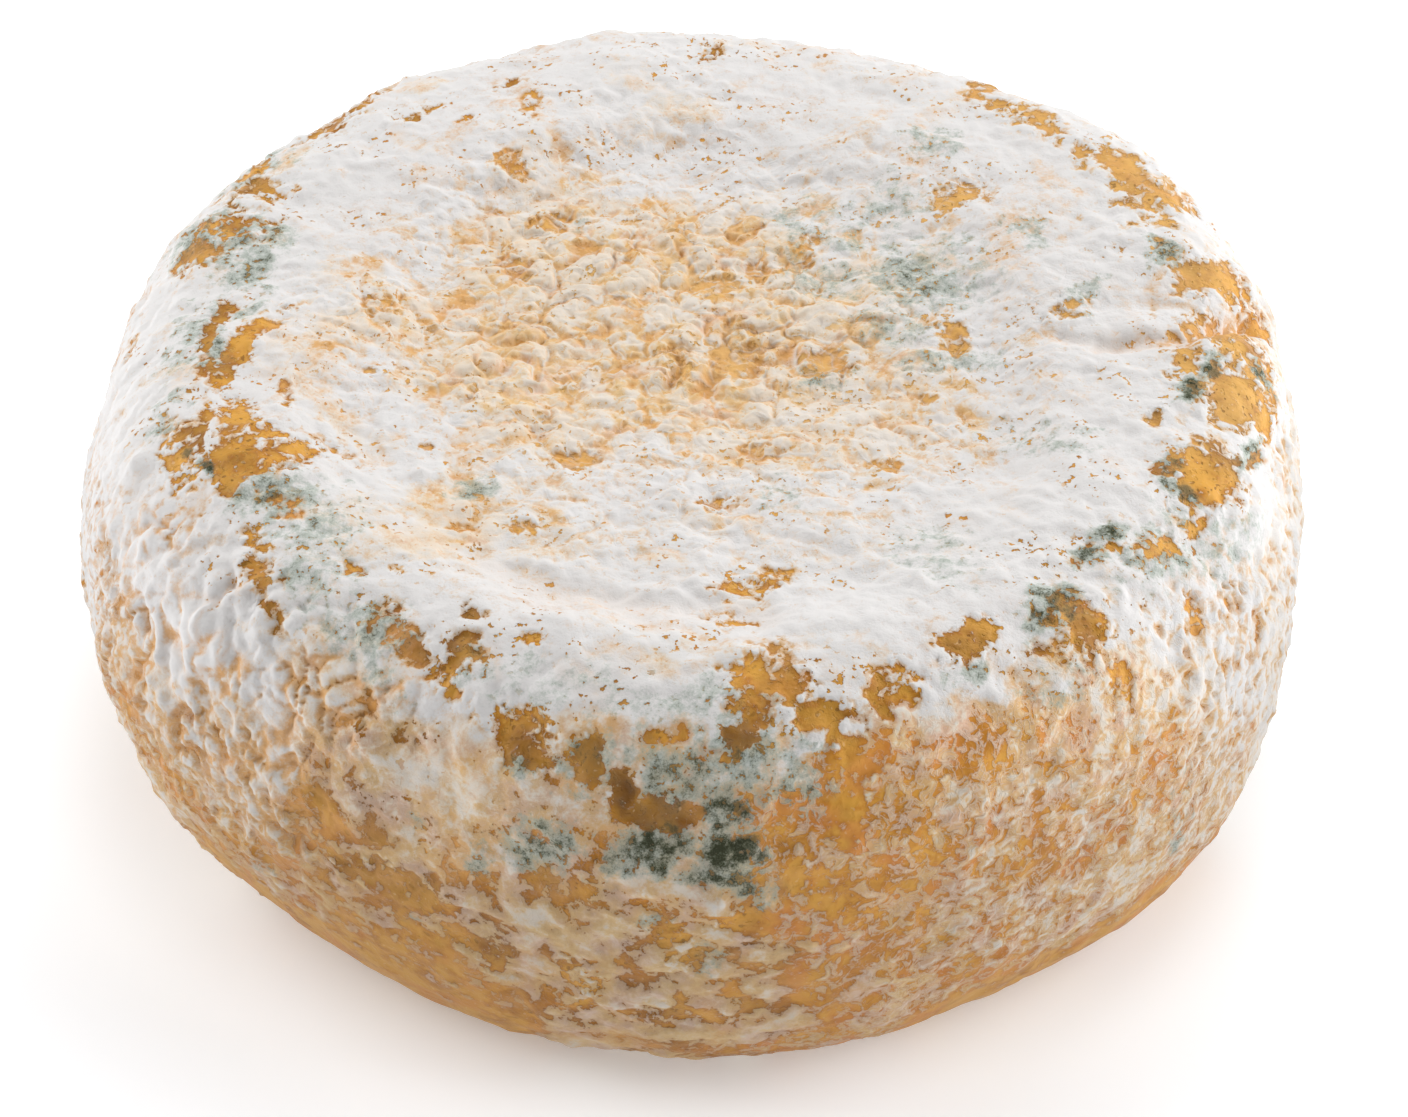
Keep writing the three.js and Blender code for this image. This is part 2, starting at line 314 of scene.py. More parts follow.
# On the rim and the side: azimuth, distance down, wide, long, turn, strength.
SIDE_BARE = (
    (-85, 71, 15, 5, 25, 1.3), (-87, 77.5, 17, 3.5, -5, 1.2), (-72, 65.3, 6, 1.5, 0, 0.9),
    (-77, 74.5, 6, 4, -10, 0.9), (-60.5, 73, 10, 12, 15, 1.5), (-68, 71, 11, 4, -15, 1.1),
    (-66, 82.5, 14, 6, 5, 1.0), (-68, 77, 8, 3, 5, 0.9), (-52, 75.5, 7, 4, 10, 1.0),
    (-34.5, 74.5, 2.5, 3, 0, 1.0), (-46, 85, 12, 4.2, 32, 1.4), (-38, 78.5, 4, 2, 0, 0.8),
    (-31, 83.5, 8, 4, 10, 0.9), (-27.5, 87, 7, 3, 0, 0.8), (-23, 77.5, 3, 3, 0, 1.0),
    (-22.5, 84.5, 6, 6, 0, 1.1), (-16, 79.3, 2.5, 1.8, 0, 1.2), (-23, 90, 6, 2, 10, 0.7),
    (-14.3, 94, 9, 5.5, 10, 1.15), (-8.4, 96, 3.2, 5, 0, 1.05), (-5.5, 99.5, 3, 5.5, 10, 1.1),
    (-2.2, 102, 7.5, 3.6, 5, 1.25), (-1.5, 91, 6, 1.6, 0, 0.8), (7.5, 84.5, 9, 9, 10, 1.15),
    (4.3, 91, 6, 3.5, -30, 1.1), (11, 88.5, 9, 5.5, 12, 1.1), (13.5, 99, 3.5, 12, 12, 0.8),
    (9, 111, 4, 5, 0, 0.7), (3.5, 118, 5.5, 2.8, -10, 1.0), (-1.5, 122, 4, 5, 0, 0.9),
    (-0.5, 126.5, 5, 4.5, 0, 0.95), (-9, 135, 4, 9, 0, 0.75), (-2, 141, 11, 3.5, 0, 0.65),
    (-25, 123.5, 15, 5, 5, 0.6), (-17, 135, 3, 6, 0, 0.6), (18, 87, 7, 5, 0, 0.95),
    (27, 83.8, 7, 4.2, 0, 1.8), (38, 88.5, 8, 7, 10, 1.3), (39.5, 99, 3, 5, 0, 0.8),
    (43.5, 81.8, 5, 2, 0, 1.0), (48, 82, 6, 2.5, 0, 0.9), (52, 87, 8, 4, 12, 0.95),
    (58, 89.7, 5, 1.4, 5, 1.1), (64.5, 85.5, 13, 9, 5, 1.5), (66, 91.5, 8, 2.5, 10, 0.8),
    (51, 96.5, 2, 4, 0, 0.7), (71, 77, 5, 2, 5, 1.0), (72, 93, 14, 1.4, 15, 1.1),
    (78.5, 86.5, 11, 14, 0, 1.5), (81, 77.5, 9, 3, 0, 0.9), (88, 85, 10, 16, 15, 1.2),
    (95, 94.5, 5, 5, 0, 1.1), (98, 83.5, 8, 13, -10, 1.3), (101.5, 74, 5, 4, 0, 0.9),
    (108, 75, 4, 8, 0, 0.7), (112.5, 80, 5, 14, 0, 1.1), (119, 75.5, 17, 6, 0, 1.3),
    (134.5, 75, 13, 5, 0, 1.1), (142.5, 80.5, 4, 9, 0, 0.9), (177.5, 75.5, 4, 7, 20, 0.8),
    (205, 74, 4, 3, 0, 0.9), (204, 66, 3, 7, 30, 0.7), (218, 76, 6, 2, 0, 0.8), (224, 89, 14, 6, 0, 1.0),
    (236, 92, 8, 6, 0, 1.0), (241, 88, 5, 10, 0, 1.1), (249, 84, 8, 9, 0, 1.1), (254.5, 87, 9, 7, 0, 1.1),
    (8.5, 67.5, 9, 5.5, -10, 0.75), (4, 74, 6, 3, 0, 0.5), (-92, 95, 10, 2.5, -10, 0.7),
)
# Where the mould stays whole between bare places, in the columns of SIDE_BARE.
SIDE_KEPT = (
    (9, 96, 6, 8, 0, 0.5), (-3, 96, 7, 4, 0, 0.3), (-65.5, 76, 12, 1.3, 12, 0.9),
    (-10, 86, 30, 6, 0, 0.3), (-18, 103, 16, 8, 0, 0.1), (66, 98, 30, 6, 0, 0.3),
    (-47, 100, 14, 14, 0, 0.25),
)
# Where the bare rind is darkest, in the columns of SIDE_BARE.
SIDE_BROWN = (
    (-2.2, 102, 9, 5, 0, 0.6), (-5.5, 99.5, 4, 6, 0, 0.6), (-8.4, 96, 4, 6, 0, 0.5),
    (4.3, 91.4, 7, 4, 0, 0.5), (27, 83.8, 8, 6, 0, 0.25), (38, 88.5, 6, 6, 0, 0.35),
    (0, 125, 8, 6, 0, 0.4), (-24, 80, 8, 10, 0, 0.35),
)
# Blue-grey mould on the face and on the side, in the columns of the bare places.
FACE_BLUE = (
    (40, 15, 17, 18, 0, 0.8), (36, 3, 12, 12, 0, 0.6), (25, 18, 16, 12, 0, 0.55),
    (45, -8, 14, 9, 0, 0.65), (23, -11, 10, 8, 0, 0.65), (52, 22, 6, 7, 0, 0.85),
    (20, 32, 12, 16, 0, 0.45), (38, 46, 10, 10, 0, 0.55), (-35, -43, 7, 7, 0, 0.8),
    (15, -45, 8, 8, 0, 0.45), (38, -58, 12, 14, 0, 0.4), (33, 35, 16, 10, 0, 0.45), (62, 4, 6, 8, 0, 0.6),
    (-22, 36, 4, 4, 0, 0.5), (56, -30, 14, 8, 0, 0.35), (28, 27, 8, 8, 0, 0.5),
)
SIDE_BLUE = (
    (-103, 79, 14, 9, 0, 0.95), (-84, 75.5, 9, 5, 10, 1.15), (-95, 73, 10, 6, 0, 0.6),
    (-53, 75, 12, 11, 20, 0.95), (-46, 76, 16, 12, 10, 0.65), (-42, 82, 14, 10, 0, 0.65),
    (-73, 84, 12, 7, 0, 0.65), (-88, 82, 22, 8, 0, 0.6), (-32, 86, 16, 9, 0, 0.75),
    (-61.5, 78.5, 4, 2.5, 0, 1.4), (-65.5, 81, 2.5, 2, 0, 1.4), (-14, 86, 30, 9, 0, 0.4),
    (-28, 92, 10, 6, 0, 0.4), (0, 88, 28, 9, 0, 0.45), (5.5, 94, 16, 10, 0, 0.8),
    (-3, 107, 12, 6.5, -12, 1.3), (3.2, 101, 6, 9, 0, 1.25), (3.5, 107, 9, 8, 0, 1.35),
    (1.5, 110.5, 9, 4, 0, 1.1), (-1, 97, 12, 11, 0, 0.95), (-12, 109, 12, 9, 0, 0.95),
    (-17.2, 115, 4, 8, 0, 0.8), (9, 98, 9, 10, 0, 0.7), (5.5, 113.5, 7, 5, 0, 0.85),
    (1.5, 126, 4, 9, 0, 0.7), (-2.5, 118.5, 4, 3.5, 0, 1.0), (-14.5, 97.5, 5, 3, 0, 0.9),
    (-9, 96, 7, 8, 0, 0.85), (-22, 83, 6, 6, 0, 0.7), (26, 88, 8, 3, 0, 0.7), (37, 85.5, 9, 6, 0, 1.25),
    (45, 81.5, 8, 3, 0, 1.35), (49, 81, 6, 3.5, 0, 1.5), (52, 87, 16, 9, 0, 0.75),
    (57, 93, 14, 8, 0, 0.6), (60.5, 84, 3, 7, 0, 1.3), (63, 81, 8, 3, 0, 1.2), (72, 92, 14, 3, 15, 1.1),
    (61, 97, 16, 8, 0, 0.45), (76, 80, 8, 3.5, 0, 1.25), (81, 81, 6, 3, 0, 1.35), (84, 91, 5, 7, 20, 1.2),
    (-23, 110.5, 3.5, 3.5, 0, 0.9), (-24.5, 131, 3, 3, 0, 0.9), (-41, 136, 8, 4, -30, 0.8),
    (251, 85, 14, 22, 0, 0.75), (236, 90, 14, 12, 0, 0.6), (47, 135, 4, 5, 0, 0.8),
    (101.5, 73, 7, 5, 0, 0.95), (33, 95, 10, 6, 0, 0.4), (46, 127, 10, 16, 0, 0.35),
)
# Creases between the knuckles of the rim: from and to on the unrolled face, mm, then width and depth.
CREASES = (
    (92, 6, 75, -5.5, 2.0, 2.4), (75, -5.5, 65, -6.5, 1.8, 1.7), (65, -6.5, 57, -3, 1.5, 0.9),
    (-44, -52, -34, -60.5, 2.2, 0.5), (-34, -60.5, -20, -68.4, 2.2, 0.9),
    (-20, -68.4, -6, -72.9, 2.2, 1.0), (-6, -72.9, 11, -72.8, 2.2, 0.8),
)


def segment_distance(x0, y0, x1, y1):
    """Distance on the unrolled face from a line between two places, a little uneven, mm."""
    dx, dy = x1 - x0, y1 - y0
    t = np.clip(((plan_x - x0) * dx + (plan_y - y0) * dy) / (dx * dx + dy * dy), 0.0, 1.0)
    return np.hypot(plan_x - x0 - t * dx, plan_y - y0 - t * dy) + 0.8 * ragged_wide


# ---------------------------------------------------------------- zones
# A zone is highest where its kind of growth is fullest, and 0 away from it.
# Peach zones of the face: x, y, wide, long, strength.
PEACH_ZONES = (
    (-8, 3, 105, 92, 1.0), (17, -20, 80, 54, 0.75), (-30, -52, 58, 30, 0.5), (12, -55, 60, 22, 0.25),
)
# Spans round the side, in degrees: a zone rises between the first two and fades between the last two. A
# pair is a rise or a fade alone. At the back, azimuths run on below -180.
LEFT_EDGE_ROUND = (-125.0, -105.0, -62.0, -50.0)
DROOP_LEFT = (-68.0, -58.0, -34.0, -22.0)
DROOP_BACK = (-220.0, -190.0, -125.0, -100.0)
MOTTLE_ROUND = (-42.0, -27.0, 4.0, 16.0)
SKIN_LEFT = (-60.0, -46.0, -22.0, -9.0)
SKIN_RIGHT = (14.0, 22.0, 52.0, 64.0)
WASH_WEAK = (8.0, 24.0, 85.0, 105.0)
GOLD_RIGHT = (58.0, 70.0, 145.0, 165.0)
BROWN_WEAK = (66.0, 76.0, 130.0, 150.0)
# Where the painted shade of the lower side is weaker.
PAINTED_SHADE_WEAK = (-140.0, -110.0, -60.0, -35.0)
LACE_START = (2.0, 12.0)
LACE_THICKER = (18.0, 40.0)
LACE_WHITER = (14.0, 34.0)
LACE_END = (34.0, 50.0)
LACED_END = (140.0, 170.0)
STRANDS_END = (150.0, 175.0)
# The same down the surface, in mm from the middle of the face.
FACE_END = (56.0, 74.0)
TOP_END = (84.0, 96.0)
SHOULDER = (70.0, 80.0, 92.0, 100.0)
LEFT_EDGE_DOWN = (94.0, 103.0, 122.0, 136.0)
DROOP_DOWN = (82.0, 92.0, 124.0, 136.0)
MOTTLE_START = (85.0, 95.0)
MOTTLE_THIN = (106.0, 116.0)
MOTTLE_CREAM = (108.0, 130.0)
LACE_TOP = (84.0, 96.0)
STRANDS_TOP = (88.0, 101.0)
LOW_SIDE_START = (98.0, 112.0)
LOW_START = (114.0, 130.0)
SKIN_LEFT_TOP = (120.0, 150.0)
SKIN_RIGHT_TOP = (142.0, 152.0)
# Where the painted shade of the lower side starts.
PAINTED_SHADE_START = (92.0, 128.0)
FOOT_START = (140.0, 152.0)
# The lace's left edge lies further right above this place, by no more than the shift, in degrees.
LACE_BEND = 108.0
LACE_SHIFT = 9.0
# The border between the lace and the strands leans, in degrees a mm, about this place.
LEAN = 0.3
LEAN_ABOUT = 100.0
# The underside's triangles: how low, and how far in from the foot, in mm.
UNDERSIDE_HEIGHT = 0.3
UNDERSIDE_MARGIN = 4.0


def band(value, rise0, rise1, fall0, fall1):
    """0, then 1 from rise0 to rise1, and back to 0 from fall0 to fall1."""
    return smooth(rise0, rise1, value) * (1.0 - smooth(fall0, fall1, value))


def oval(distance):
    """1 in the middle of a wide zone, fading to 0 outside it."""
    return 1.0 - smooth(0.45, 1.25, distance)


underside = (points[:, 2] < UNDERSIDE_HEIGHT) & (arc > FOOT_ARC - UNDERSIDE_MARGIN)

# Uneven versions of the azimuth and of the distance down the surface.
wander = 7.0 * gradient_noise(points, 22.0, 5) + 2.5 * gradient_noise(points, 8.0, 7)
ripple = 7.0 * fractal(points, 9.0, 225, 2)
bearing = azimuth + wander
down = arc + 0.7 * wander
leaning = bearing - LEAN * (down - LEAN_ABOUT)
behind = np.where(bearing > 90.0, bearing - 360.0, bearing)
brink = down + 5.0 * gradient_noise(points, 10.0, 221) + 3.0 * gradient_noise(points, 4.0, 223)

face = 1.0 - smooth(*FACE_END, arc)
top = 1.0 - smooth(*TOP_END, down)
shoulder = band(down, *SHOULDER)
low_side = smooth(*LOW_SIDE_START, down)

peach = np.zeros(len(points), np.float32)
for *zone, strength in PEACH_ZONES:
    peach = np.maximum(peach, strength * oval(from_face(*zone)))

# Round the side from the left: torn strands, wrinkles, mottled film, lace, and strands with pores.
left_edge = band(bearing, *LEFT_EDGE_ROUND) * band(down, *LEFT_EDGE_DOWN)
wrinkled = np.maximum(band(bearing, *DROOP_LEFT), 0.7 * band(behind, *DROOP_BACK))
droop = wrinkled * band(down, *DROOP_DOWN)
mottle = band(bearing + ripple, *MOTTLE_ROUND) * smooth(*MOTTLE_START, brink)
lace_start = bearing + ripple - np.clip(0.5 * (LACE_BEND - down), 0.0, LACE_SHIFT)
lace = smooth(*LACE_START, lace_start) * (1.0 - smooth(*LACE_END, leaning)) * smooth(*LACE_TOP, brink)
strands = smooth(*LACE_END, leaning) * (1.0 - smooth(*STRANDS_END, bearing)) * smooth(*STRANDS_TOP, brink)

# Low down: bare skin, and worn mould all round but where the lace and the strands reach the foot.
skin_left = band(bearing, *SKIN_LEFT) * smooth(*SKIN_LEFT_TOP, brink)
skin_right = 0.7 * band(bearing, *SKIN_RIGHT) * smooth(*SKIN_RIGHT_TOP, down)
skin = np.maximum(skin_left, skin_right)
laced = smooth(*LACE_START, bearing) * (1.0 - smooth(*LACED_END, bearing))
low = smooth(*LOW_START, down) * (1.0 - laced) * (1.0 - mottle)


# ---------------------------------------------------------------- patterns
# The first numbers of a call are sizes and amounts in mm, and the whole number after them is its seed.
def stretched(places, across, up):
    """The places scaled, so that a pattern comes out longer along an axis whose factor is below 1."""
    return places * np.array([across, across, up], np.float32)


bent = warped(points, 7.0, 2.2, 31)
broad = gradient_noise(points, 17.0, 41)
middle = fractal(bent, 6.0, 43, 3)
small = fractal(warped(points, 3.0, 0.8, 46), 2.6, 47, 3, 0.65)
flow = fractal(stretched(warped(points, 9.0, 4.0, 211), 0.6, 1.3), 6.0, 214, 3, 0.6)
streaks = fractal(stretched(points, 0.5, 1.3), 2.0, 121, 3)
tear = fractal(warped(points, 3.0, 1.2, 171), 3.0, 173, 3, 0.8)
eroded = smooth(0.12, 0.55, fractal(warped(points, 8.0, 3.0, 151), 8.0, 153, 3))
clusters = smooth(0.0, 0.5, fractal(points, 9.0, 191, 2))

# A stain in soft patches, weaker on the right of the rim.
wash = smooth(0.0, 0.45, gradient_noise(warped(points, 12.0, 4.0, 201), 11.0, 204))
wash = wash * (1.0 - 0.7 * band(bearing, *WASH_WEAK))

# A net of strands round small holes.
hole = cells(warped(points, 2.6, 0.9, 165), 2.3, 167)[0]
net = 0.75 * fractal(warped(points, 3.5, 1.3, 161), 2.3, 163, 2, 0.6) + 0.6 * (hole - 0.5)

# Scales of mould on the face, large and small.
torn_edges = warped(warped(points, 9.0, 2.4, 50), 3.5, 1.2, 51)
plate, plate_gap, plate_over, plate_under, mound = scales(torn_edges, 7.4, 53, 0.4)
chip, chip_gap, chip_over, chip_under, petal = scales(warped(points, 2.8, 0.9, 61), 3.0, 63, 0.4)

# Wrinkles that run down the side: lumps long in z.
tall = stretched(warped(warped(points, 9.0, 2.5, 70), 4.0, 1.4, 71), 1.0, 0.6)
fold, furrow = lumps(tall, 3.5, 79)
furrow = furrow * smooth(-0.45, 0.2, gradient_noise(points, 9.0, 74))
crimp, crimp_furrow = lumps(stretched(warped(points, 3.0, 0.8, 77), 1.0, 0.8), 2.7, 75)
cushion = np.abs(gradient_noise(warped(points, 7.0, 2.2, 145), 5.5, 146)) \
    + 0.5 * np.abs(gradient_noise(warped(points, 4.0, 1.0, 147), 2.6, 148))

# Pores: small upright gaps between the strands, in two cells out of three.
near_pore, _, pore_key, _ = cells(stretched(warped(points, 3.0, 0.9, 101), 1.0, 0.45), 1.9, 103)
pore = (1.0 - smooth(0.2, 0.55, near_pore)) * (pore_key > 0.35)

crease = np.zeros(len(points), np.float32)
for x0, y0, x1, y1, wide, deep in CREASES:
    crease = np.maximum(crease, deep * np.exp(-(segment_distance(x0, y0, x1, y1) / wide) ** 2))

# ---------------------------------------------------------------- cover
# How thick the mould is: about 0.8 where it is whole, and below 0 where the rind is bare.
wear = np.clip(0.55 * peach + 0.35 * face + 0.4 * shoulder, 0.0, 1.0)
cover = 0.80 + 0.14 * broad + 0.24 * middle + 0.14 * small
cover -= wear * 0.65 * eroded
cover -= face * (0.08 + 0.17 * peach) * (plate_under + 0.5 * chip_under)
cover -= peach * (0.02 + 0.2 * broad - 0.45 * (mound - 0.35) - 0.2 * (petal - 0.4))
cover -= lace * (0.74 - 0.31 * smooth(*LACE_THICKER, bearing) - 0.3 * net - 0.18 * broad - 0.1 * middle)
cover -= strands * (0.08 + 0.62 * pore - 0.3 * net)
cover -= left_edge * (0.12 + 0.3 * pore - 0.4 * net)
cover -= droop * (0.5 * furrow + low_side * (0.27 - 0.3 * net - 0.7 * (crimp - 0.5)))
cover -= mottle * (0.34 - 0.1 * net - 0.3 * middle + 0.25 * eroded)
cover -= (mottle * smooth(*MOTTLE_THIN, down) + 0.6 * low) * (1.0 - skin) * (0.24 - 0.9 * flow)
cover -= low * (0.30 - 0.5 * net - 0.2 * broad)
cover -= skin * (0.64 + 0.75 * smooth(*FOOT_START, down) - 1.1 * streaks - 0.8 * net)

bare = np.maximum(spots(FACE_BARE, from_face), spots(SIDE_BARE, from_side))
halo = np.maximum(spots(FACE_BARE, from_face, 0.95), spots(SIDE_BARE, from_side, 0.95))
partly = np.clip(4.5 * halo * (1.3 - halo), 0.0, 1.0)
cover -= 1.05 * bare - (1.7 + 0.6 * shoulder) * partly * tear
cover += spots(SIDE_KEPT, from_side)

# ---------------------------------------------------------------- colour fields
blue = np.maximum(spots(FACE_BLUE, from_face, 0.8), spots(SIDE_BLUE, from_side, 0.8))
blue = blue + 0.35 * middle * smooth(0.0, 0.2, blue)

# How creamy the mould is.
lace_cream = 1.0 - 0.35 * smooth(*LACE_WHITER, bearing)
tint = 0.1 + 0.5 * low + 0.98 * peach + 1.25 * lace * lace_cream + 0.4 * strands \
    + 0.7 * mottle + 0.5 * droop * low_side + 0.25 * broad + 0.4 * wear * eroded \
    + 0.5 * smooth(*FOOT_START, arc) + 0.35 * top * wash + 1.1 * skin \
    + 0.4 * mottle * smooth(*MOTTLE_CREAM, down)
tint = np.clip(tint, 0.0, 1.8)

# How brown the bare rind is.
brown = 0.15 + 0.12 * mottle + (0.5 - 0.3 * skin) * fractal(points, 9.0, 131, 2) \
    + 0.1 * shoulder - 0.5 * face - 0.3 * band(bearing, *BROWN_WEAK) - 0.5 * skin \
    - 0.2 * strands - 0.35 * lace + spots(SIDE_BROWN, from_side)
brown = np.clip(brown, 0.0, 1.0)

# Orange: real stain in patches, and painted shade under the scales, in the gaps between them, in the
# furrows, creases and pores.
stain_and_painted_shade = face * (0.15 + 0.25 * wash + 0.25 * peach) * (plate_under + 0.4 * chip_under) \
    + droop * np.maximum(furrow, 0.8 * low_side * crimp_furrow) \
    + 0.45 * top * wash * smooth(-0.1, 0.4, -middle) + 0.35 * crease + 0.3 * strands * pore \
    + 0.25 * peach * face * (1.0 - smooth(0.0, 0.3, plate_gap)) \
    + 0.5 * mottle * smooth(0.1, 0.5, fractal(points, 7.0, 181, 2))
stain_and_painted_shade = np.clip(stain_and_painted_shade, 0.0, 1.0)

# How softly the mould fades into the rind.
soft = peach * face + 0.5 * top * wash + lace + 0.25 * mottle + 0.6 * low_side * droop + 0.4 * strands \
    + 0.6 * skin + 0.7 * left_edge + 0.5 * low
soft = np.clip(soft, 0.0, 1.0)

# How thick the mould is with small holes, and how frayed it is into threads.
speck = 0.9 * halo + 0.4 * smooth(0.2, 0.7, blue) + wear * (0.2 + 0.6 * clusters) \
    + top * (0.06 + 0.6 * clusters) + 0.3 * mottle * clusters
speck = np.clip(speck, 0.0, 1.0)
fray = lace * (1.0 - 0.5 * halo) + 0.5 * low + 0.35 * mottle + 0.7 * strands + 0.1 * skin \
    + 0.8 * left_edge + 0.5 * low_side * droop + 0.25 * halo
fray = np.clip(fray, 0.0, 1.0)

# Where scales of mould stand up, which gives them white edges: white mould, partly a painted highlight on
# the raised edge.
flaky = face * (0.35 + 0.65 * peach)
rim = np.clip(flaky * plate_over, 0.0, 1.0)

# How far the bare rind is pale gold, and how much of its colour the surface keeps: painted shade that
# darkens the lower side, less round the left, and the bare skin low down a little more.
gold_share = np.maximum(peach * face, 0.55 * band(bearing, *GOLD_RIGHT) * top + 0.2 * skin)
painted_side_shade = (0.27 - 0.14 * band(bearing, *PAINTED_SHADE_WEAK)) * smooth(*PAINTED_SHADE_START, down)
painted_light_share = 1.0 - painted_side_shade - 0.06 * skin

# ---------------------------------------------------------------- relief, mm
# The relief fades out towards the floor, from the second height to the first.
FOOT_CALM = (0.3, 4.0)

mould = smooth(-0.05, 0.5, cover)
scaly = 0.3 * (plate - 0.5) + (0.8 + 0.5 * broad) * (mound - 0.4) + 0.1 * (chip - 0.5) \
    + 0.4 * (petal - 0.4) + 0.3 * small * peach
padded = (0.2 + 0.8 * mould) * (1.0 - 0.7 * lace) * (1.0 - 0.7 * skin) * (1.0 - 0.6 * mottle) \
    * (1.0 - 0.5 * face * peach)
height = 0.35 * mould
height += flaky * scaly
height += droop * (1.0 - 0.5 * low_side) * 2.0 * (fold - 0.5) \
    + droop * (0.5 + 0.5 * low_side) * 1.3 * (crimp - 0.5)
height += (strands + 0.6 * left_edge) * (0.6 * (crimp - 0.5) - 0.35 * pore)
height += fractal(bent, 11.0, 141, 3, 0.6) * (1.0 - 0.5 * skin)
height += padded * (0.45 + 0.35 * broad) * (cushion - 0.35)
height -= crease
height *= smooth(*FOOT_CALM, points[:, 2])

fine = points + normals * height[:, None]
fine[:, 2] = np.maximum(fine[:, 2], 0.0)
fine[underside, 2] = points[underside, 2]
fine = fine.astype(np.float32)

# ---------------------------------------------------------------- the piece
mesh = bpy.data.meshes.new("cheese_wheel_rind")
mesh.vertices.add(len(fine))
mesh.vertices.foreach_set("co", (fine * MM).ravel())
mesh.loops.add(len(faces) * 3)
mesh.loops.foreach_set("vertex_index", faces.astype(np.int32).ravel())
mesh.polygons.add(len(faces))
mesh.polygons.foreach_set("loop_start", np.arange(0, len(faces) * 3, 3, dtype=np.int32))
mesh.update(calc_edges=True)
mesh.shade_smooth()


def keep_on_mesh(name, a, b, c):
    """Keeps three fields on the mesh, for the material to read."""
    layer = mesh.attributes.new(name, "FLOAT_VECTOR", "POINT")
    layer.data.foreach_set("vector", np.stack([a, b, c], 1).astype(np.float32).ravel())


keep_on_mesh("growth", cover, blue, brown)
keep_on_mesh("shade", tint, stain_and_painted_shade, soft)
keep_on_mesh("lines", plate_gap, rim, fray)
# The third field kept under places is painted shade for the lower side.
keep_on_mesh("places", gold_share, halo, painted_light_share)
keep_on_mesh("marks", speck, chip_gap, face * chip_over)

# A flat map for the baked colours: the face and side as one disc, and the underside as a small one in the
# map's corner.
DISC_END = FOOT_ARC + 1.0
CORNER_DISC = 0.078
CORNER_GAP = 0.004
flat_faces = underside[faces].all(axis=1)
uv = np.stack([0.5 + 0.5 * plan_x / DISC_END, 0.5 + 0.5 * plan_y / DISC_END], 1)[faces]
corner = np.stack([points[:, 0], points[:, 1]], 1) / SECTION_RADIUS * CORNER_DISC + CORNER_DISC + CORNER_GAP
uv[flat_faces] = corner[faces[flat_faces]]
uv_layer = mesh.uv_layers.new(name="OFBake")
uv_layer.data.foreach_set("uv", uv.astype(np.float32).ravel())

wheel = bpy.data.objects.new("cheese_wheel_rind", mesh)
bpy.context.scene.collection.objects.link(wheel)
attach(wheel, "root")
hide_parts("cheese_wheel")


# ---------------------------------------------------------------- shader nodes
def linear(r, g, b):
    """Linear colour from 0-255 screen values."""
    screen = (v / 255 for v in (r, g, b))
    return tuple(v / 12.92 if v <= 0.04 else ((v + 0.055) / 1.055) ** 2.4 for v in screen) + (1.0,)


